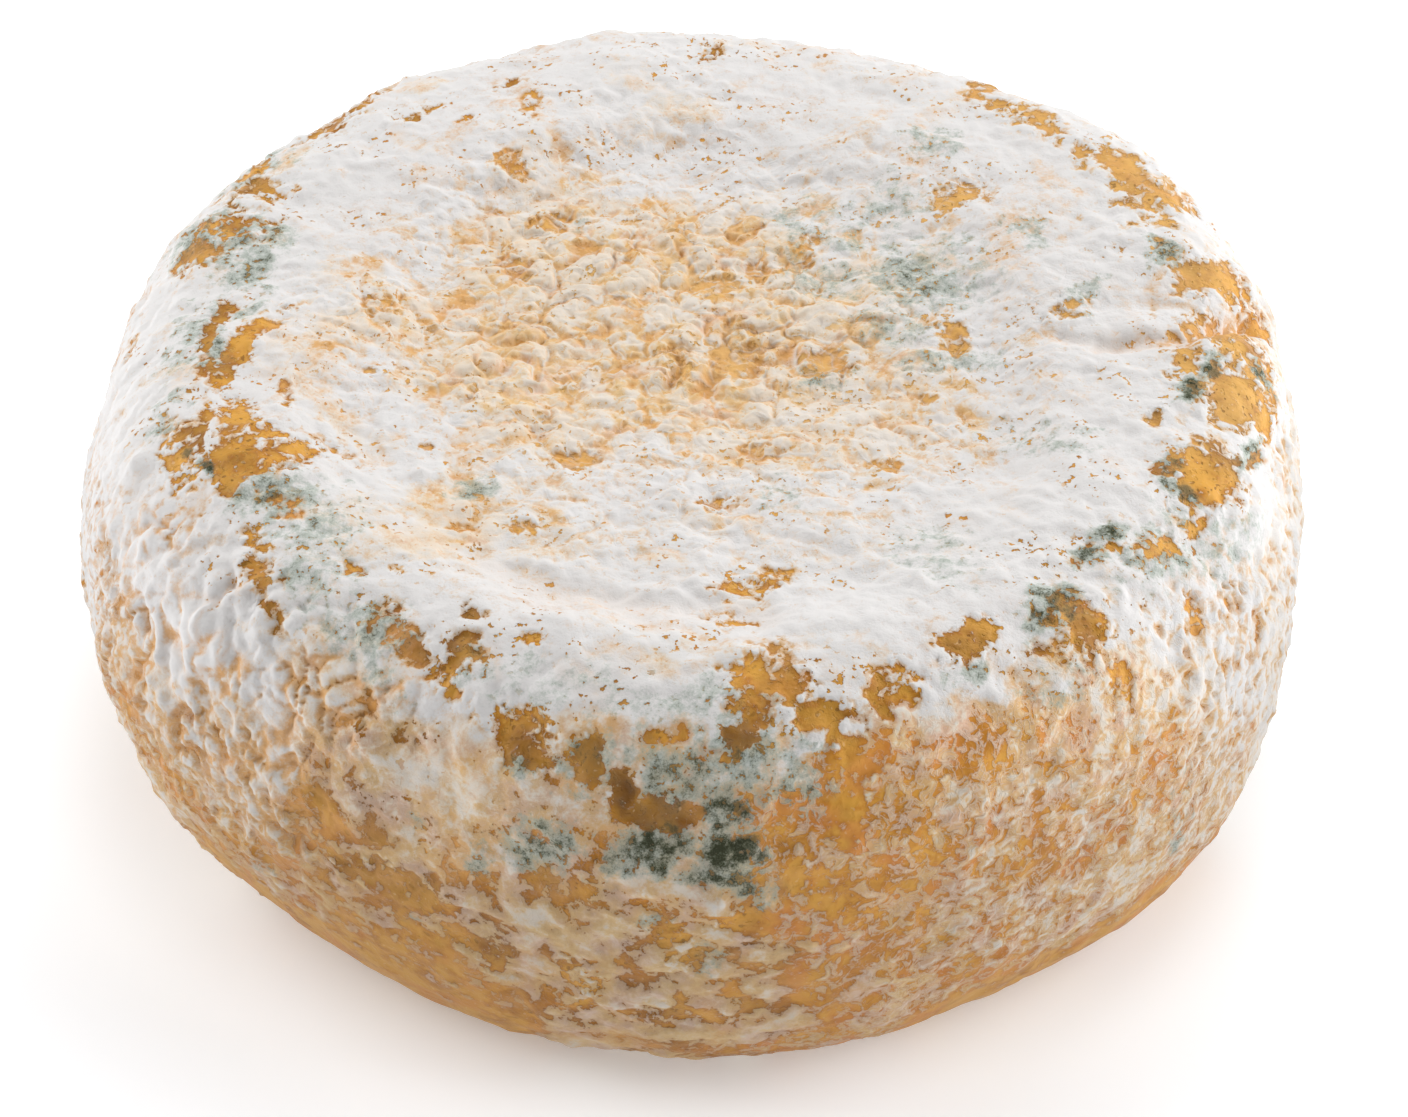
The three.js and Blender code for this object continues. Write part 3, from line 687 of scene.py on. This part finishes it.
class Graph:
    """Short calls for shader nodes; an input is a number, a colour or another node's output."""

    def __init__(self, tree):
        self.tree = tree

    def put(self, socket, value):
        """Links a node's output to a socket, or sets the socket's own value."""
        if isinstance(value, bpy.types.NodeSocket):
            self.tree.links.new(value, socket)
        else:
            socket.default_value = value

    def add(self, kind, **inputs):
        """A new node, with its inputs by name; an underscore stands for a space."""
        node = self.tree.nodes.new(kind)
        for name, value in inputs.items():
            self.put(node.inputs[name.replace("_", " ")], value)
        return node

    def math(self, operation, a, b=0.0, c=None, clamp=False):
        """One operation on two or three values."""
        node = self.tree.nodes.new("ShaderNodeMath")
        node.operation = operation
        node.use_clamp = clamp
        self.put(node.inputs[0], a)
        self.put(node.inputs[1], b)
        if c is not None:
            self.put(node.inputs[2], c)
        return node.outputs[0]

    def vector_math(self, operation, a, b=(0.0, 0.0, 0.0)):
        """One operation on vectors; its outputs are a vector and a value."""
        node = self.tree.nodes.new("ShaderNodeVectorMath")
        node.operation = operation
        self.put(node.inputs[0], a)
        self.put(node.inputs[1], b)
        return node.outputs

    def times(self, *values):
        """The product of the values."""
        result = values[0]
        for value in values[1:]:
            result = self.math("MULTIPLY", result, value)
        return result

    def scaled(self, value, factor, offset):
        """The value times the factor, plus the offset."""
        return self.math("MULTIPLY_ADD", value, factor, offset)

    def rest(self, value):
        """What the value leaves of 1."""
        return self.math("SUBTRACT", 1.0, value)

    def total(self, *values):
        """The sum of the values."""
        result = values[0]
        for value in values[1:]:
            result = self.math("ADD", result, value)
        return result

    def centred(self, value, weight):
        """The value less a half, times the weight."""
        return self.times(self.math("SUBTRACT", value, 0.5), weight)

    def step(self, value, low, high, to_low=0.0, to_high=1.0):
        """An S-curve from to_low at low to to_high at high."""
        node = self.tree.nodes.new("ShaderNodeMapRange")
        node.interpolation_type = "SMOOTHSTEP"
        for i, v in enumerate((value, low, high, to_low, to_high)):
            self.put(node.inputs[i], v)
        return node.outputs[0]

    def line(self, value, at, width):
        """1 where the value is at the given level, 0 from the width away."""
        away = self.math("ABSOLUTE", self.math("SUBTRACT", value, at))
        return self.step(away, 0.0, width, 1.0, 0.0)

    def mix(self, factor, a, b, kind="MIX"):
        """Colour a with the factor's share of colour b."""
        node = self.tree.nodes.new("ShaderNodeMix")
        node.data_type = "RGBA"
        node.blend_type = kind
        self.put(node.inputs["Factor"], factor)
        self.put(node.inputs[6], a)
        self.put(node.inputs[7], b)
        return node.outputs[2]

    def noise(self, where, size, detail, roughness, swirl=0.0):
        """Noise of the given size in mm."""
        node = self.add("ShaderNodeTexNoise", Vector=where, Scale=1.0 / (size * MM), Detail=detail,
                        Roughness=roughness, Distortion=swirl)
        return node.outputs["Fac"]

    def channels(self, name):
        """The three fields kept on the mesh under a name."""
        attribute = self.tree.nodes.new("ShaderNodeAttribute")
        attribute.attribute_name = name
        parts = self.tree.nodes.new("ShaderNodeSeparateXYZ")
        self.put(parts.inputs[0], attribute.outputs["Vector"])
        return parts.outputs


# ---------------------------------------------------------------- material
GOLD = linear(229, 168, 68)
PALE_GOLD = linear(236, 193, 124)
OCHRE = linear(206, 134, 38)
UMBER = linear(124, 80, 26)
RUST = linear(220, 136, 66)
FLECK = linear(238, 208, 162)
ORANGE = linear(230, 172, 104)
PEACH = linear(236, 205, 156)
ROSE = linear(235, 207, 187)
CREAM = linear(235, 220, 200)
WHITE = linear(232, 230, 229)
BLUE_GREY = linear(170, 182, 170)
MOSS = linear(118, 124, 98)
DARK_GREEN = linear(48, 52, 28)

BUMP_DEPTH = 0.22 * MM
BUMP_STRENGTH = 0.9
SPECULAR = 0.3
ROUGH_BARE = 0.5
ROUGH_MOULD = 0.9

material = bpy.data.materials.new("rind")
material.use_nodes = True
material.node_tree.nodes.clear()
graph = Graph(material.node_tree)
place = graph.add("ShaderNodeTexCoord").outputs["Object"]
grown, blued, browned = graph.channels("growth")
tinted, stained_and_shaded, softened = graph.channels("shade")
gaps, rims, frayed = graph.channels("lines")
specked, chip_gaps, chip_rims = graph.channels("marks")
# The third of these is painted shade, which darkens the lower side.
golden, haloed, painted_lightness = graph.channels("places")

# White lines along the scales' raised edges: white mould, partly a painted highlight.
grain_wide = graph.noise(place, 1.6, 3.0, 0.65)
grain_fine = graph.noise(place, 0.5, 3.0, 0.7)
wobble = graph.centred(grain_wide, 0.12)
rim_line = graph.times(graph.line(graph.total(gaps, wobble), 0.09, 0.075), rims)
chip_line = graph.times(graph.line(graph.total(chip_gaps, wobble), 0.10, 0.10), graph.times(chip_rims, 0.6))
white_lines_and_highlights = graph.math("MAXIMUM", rim_line, chip_line)

# The mould's thickness, with what is finer than the mesh: grain, curls, torn edges and small holes.
grain = graph.total(graph.centred(grain_wide, 1.0), graph.centred(grain_fine, 0.7))
curls = graph.noise(place, 2.1, 2.0, 0.55, 1.0)
dots = graph.step(graph.noise(place, 1.2, 2.0, 0.6), 0.6, 0.67)
tears = graph.centred(graph.noise(place, 1.7, 3.0, 0.6, 0.4), 10.5)
thickness = graph.total(
    grown,
    graph.times(haloed, graph.math("SUBTRACT", 1.25, haloed), tears),
    graph.times(grain, graph.scaled(frayed, -0.55, 1.0)),
    graph.times(graph.centred(curls, 3.0), frayed),
    graph.times(white_lines_and_highlights, 0.35),
    graph.times(dots, specked, -2.0))
# A pale line along the film's edge, partly a painted highlight; the threads are real white strands.
lip_highlight = graph.times(graph.line(thickness, 0.1, 0.1), frayed)
thread_path = graph.line(graph.noise(place, 1.9, 1.0, 0.5, 1.3), 0.5, 0.05)
thread = graph.times(thread_path, frayed, graph.step(thickness, -0.55, 0.05))
raised = graph.math("MAXIMUM", lip_highlight, thread)

# The bare rind: gold in the middle of a bare place, partly a painted highlight, to ochre at its edge, with
# rust, brown, pits and pale flecks.
warm = graph.noise(place, 5.0, 3.0, 0.6)
blush = graph.step(graph.noise(place, 7.0, 2.0, 0.5), 0.48, 0.66)
rusty_places = graph.math("SUBTRACT", softened, graph.times(golden, 0.6))
rusty = graph.times(blush, graph.times(rusty_places, 0.6))
bare_brown = graph.math("ADD", browned, graph.centred(warm, 1.0), clamp=True)
edging = graph.times(graph.step(thickness, -0.3, 0.0, 0.0, 0.2), graph.rest(softened))
holes = graph.step(graph.noise(place, 1.2, 1.0, 0.5), 0.34, 0.28)
pits = graph.times(holes, graph.rest(softened))
flecks = graph.step(graph.noise(place, 0.8, 1.0, 0.5), 0.66, 0.74, 0.0, 0.35)
# Gold deep in a bare place, ochre near its edge: partly a painted highlight in the middle.
rind_depth_and_highlight = graph.step(graph.total(thickness, graph.centred(warm, 2.0)), -0.9, 0.1)
rind_colour = graph.mix(rind_depth_and_highlight, GOLD, OCHRE)
rind_colour = graph.mix(graph.times(golden, 0.75), rind_colour, PALE_GOLD)
rind_colour = graph.mix(rusty, rind_colour, RUST)
rind_colour = graph.mix(bare_brown, rind_colour, UMBER)
rind_colour = graph.mix(edging, rind_colour, UMBER)
rind_colour = graph.mix(graph.times(pits, 0.6), rind_colour, UMBER)
rind_colour = graph.mix(flecks, rind_colour, FLECK)

# The mould: peach or rose where it is thin, then cream, then white.
whiteness = graph.math("SUBTRACT", thickness, graph.times(tinted, 0.55))
pale = graph.mix(graph.step(tinted, 0.35, 1.2, 0.0, 0.75), WHITE, CREAM)
film_colour = graph.mix(graph.step(warm, 0.4, 0.7), PEACH, ROSE)
film_colour = graph.mix(graph.step(whiteness, -0.2, 0.3), film_colour, CREAM)
film_colour = graph.mix(graph.step(whiteness, 0.05, 0.65), film_colour, pale)
edge_width = graph.scaled(softened, 0.09, 0.04)
covered = graph.step(thickness, graph.times(edge_width, -1.0), edge_width)
film_opacity = graph.step(thickness, -0.1, 0.8, graph.scaled(softened, -0.2, 0.6), 1.0)
opacity = graph.times(covered, film_opacity)
colour = graph.mix(opacity, rind_colour, film_colour)
# Orange: real stain in patches and painted shade in the hollows, stronger where the mould is thin.
stain_and_shade_strength = graph.step(thickness, 0.1, 0.8, 0.75, 0.25)
colour = graph.mix(graph.times(stained_and_shaded, stain_and_shade_strength), colour, ORANGE)
# The scales' white edges and the film's pale lips and threads: white mould, partly painted highlight.
colour = graph.mix(graph.times(white_lines_and_highlights, 0.4), colour, WHITE)
colour = graph.mix(graph.times(raised, 0.38), colour, pale)

# Blue-grey mould: a veil, then moss, then dark green dots where it is strongest.
stipple = graph.noise(place, 0.32, 2.0, 0.8)
cloud = graph.noise(place, 2.4, 4.0, 0.75)
blue_edges = graph.times(graph.centred(cloud, 3.0), graph.step(blued, 0.0, 0.25))
blue_sum = graph.total(blued, blue_edges)
dark_sum = graph.total(blue_sum, graph.centred(stipple, 1.5))
on_mould = graph.step(thickness, -0.05, 0.15, 0.1, 1.0)
on_any = graph.step(thickness, -0.05, 0.15, 0.6, 1.0)
veil = graph.times(graph.step(blue_sum, 0.15, 0.9, 0.0, 0.72), on_mould)
moss = graph.times(graph.step(blue_sum, 0.85, 1.5, 0.0, 0.8), on_any)
dark_dots = graph.times(graph.step(dark_sum, 0.7, 1.75, 0.0, 0.92), on_any)
colour = graph.mix(veil, colour, BLUE_GREY)
colour = graph.mix(moss, colour, MOSS)
colour = graph.mix(dark_dots, colour, DARK_GREEN)

# Painted shade: the colour is multiplied down, so the lower side is darker.
colour = graph.mix(1.0, colour, painted_lightness, "MULTIPLY")

# The relief that is finer than the mesh, as bump.
lift = graph.total(
    graph.times(pits, graph.rest(covered), -0.5),
    graph.times(covered, graph.scaled(softened, -0.3, 0.45)),
    graph.times(thickness, graph.scaled(frayed, -0.32, 0.5)),
    graph.centred(grain_wide, 0.5),
    graph.times(white_lines_and_highlights, 0.25),
    graph.times(raised, 0.3))
bump = graph.add("ShaderNodeBump", Strength=BUMP_STRENGTH, Distance=BUMP_DEPTH, Height=lift)
roughness = graph.step(opacity, 0.2, 0.8, ROUGH_BARE, ROUGH_MOULD)
surface = graph.add("ShaderNodeBsdfPrincipled", Base_Color=colour, Normal=bump.outputs[0],
                    Roughness=roughness, Specular_IOR_Level=SPECULAR)
graph.add("ShaderNodeOutputMaterial", Surface=surface.outputs[0])
mesh.materials.append(material)

# ---------------------------------------------------------------- floor
# Its own faint glow, painted light, keeps it pale; the glow fades near the wheel, which paints a darker
# contact shadow there.
FLOOR_HALF = 3.0
FLOOR_COLOUR = (0.84, 0.87, 0.915, 1.0)
# The shadow is an oval: these factors turn it into a circle.
SHADOW_SHAPE = (0.93, 1.06, 1.0)
# Distances from the wheel's middle in metres, and the light between them: near the wheel and further out.
SHADOW_EDGE = (0.084, 0.109)
SHADOW_GLOW = (0.23, 0.43)
FAR_EDGE = (0.16, 0.8)
FAR_GLOW = (0.0, 0.62)
CORNERS_2D = ((-1, -1), (1, -1), (1, 1), (-1, 1))

floor_mesh = bpy.data.meshes.new("floor")
floor_mesh.from_pydata([(x * FLOOR_HALF, y * FLOOR_HALF, 0) for x, y in CORNERS_2D], [], [(0, 1, 2, 3)])
floor = bpy.data.objects.new("floor", floor_mesh)
bpy.context.scene.collection.objects.link(floor)
floor_material = bpy.data.materials.new("floor")
floor_material.use_nodes = True
floor_surface = floor_material.node_tree.nodes["Principled BSDF"]
floor_surface.inputs["Base Color"].default_value = FLOOR_COLOUR
floor_surface.inputs["Emission Color"].default_value = (1.0, 1.0, 1.0, 1.0)
floor_surface.inputs["Roughness"].default_value = 1.0
floor_surface.inputs["Specular IOR Level"].default_value = 0.0
floor_graph = Graph(floor_material.node_tree)
floor_place = floor_graph.add("ShaderNodeTexCoord").outputs["Object"]
spread = floor_graph.vector_math("MULTIPLY", floor_place, SHADOW_SHAPE)["Vector"]
far = floor_graph.vector_math("LENGTH", spread)["Value"]
near_glow = floor_graph.step(far, *SHADOW_EDGE, *SHADOW_GLOW)
far_glow = floor_graph.step(far, *FAR_EDGE, *FAR_GLOW)
floor_graph.put(floor_surface.inputs["Emission Strength"], floor_graph.total(near_glow, far_glow))
floor_mesh.materials.append(floor_material)

# ---------------------------------------------------------------- light
# The world is brighter at the horizon and below it than overhead.
WORLD_COLOUR = (1.0, 0.965, 0.93, 1.0)
WORLD_BRIGHT = 0.75
WORLD_DIM = 0.15
WORLD_EDGE = (0.1, 0.25)
LIGHT_TARGET = Vector((0.0, 0.0, 0.03))
# Name, place and side in metres, power in watts.
SOFT_BOXES = (
    ("key light", (0.28, 0.7, 1.05), 1.0, 5.9),
    ("left light", (-1.05, 0.28, 0.75), 0.9, 11.0),
    ("right light", (1.1, 0.05, 0.55), 0.9, 11.0),
)

world = bpy.data.worlds.new("studio")
bpy.context.scene.world = world
world.use_nodes = True
background = world.node_tree.nodes["Background"]
background.inputs["Color"].default_value = WORLD_COLOUR
world_graph = Graph(world.node_tree)
direction = world_graph.add("ShaderNodeTexCoord").outputs["Generated"]
up = world_graph.add("ShaderNodeSeparateXYZ", Vector=direction).outputs["Z"]
world_graph.put(background.inputs["Strength"], world_graph.step(up, *WORLD_EDGE, WORLD_BRIGHT, WORLD_DIM))


def soft_box(name, where, side, power):
    """A square area light that faces the wheel."""
    light = bpy.data.lights.new(name, "AREA")
    light.shape = "RECTANGLE"
    light.size = side
    light.size_y = side
    light.energy = power
    box = bpy.data.objects.new(name, light)
    box.location = where
    box.rotation_euler = (LIGHT_TARGET - Vector(where)).to_track_quat("-Z", "Y").to_euler()
    bpy.context.scene.collection.objects.link(box)


for row in SOFT_BOXES:
    soft_box(*row)

# ---------------------------------------------------------------- camera object
camera_data = bpy.data.cameras.new("camera")
camera_data.lens = CAMERA_LENS
camera_data.sensor_width = CAMERA_SENSOR
camera_data.clip_start = CAMERA_CLIP
camera = bpy.data.objects.new("camera", camera_data)
camera.location = (CAMERA_TARGET[0], CAMERA_TARGET[1] - CAMERA_DISTANCE * math.cos(CAMERA_ELEVATION),
                   CAMERA_TARGET[2] + CAMERA_DISTANCE * math.sin(CAMERA_ELEVATION))
camera.rotation_euler = (math.pi / 2 - CAMERA_ELEVATION, 0.0, 0.0)
bpy.context.scene.collection.objects.link(camera)
bpy.context.scene.camera = camera
bpy.context.scene.view_settings.view_transform = "Standard"
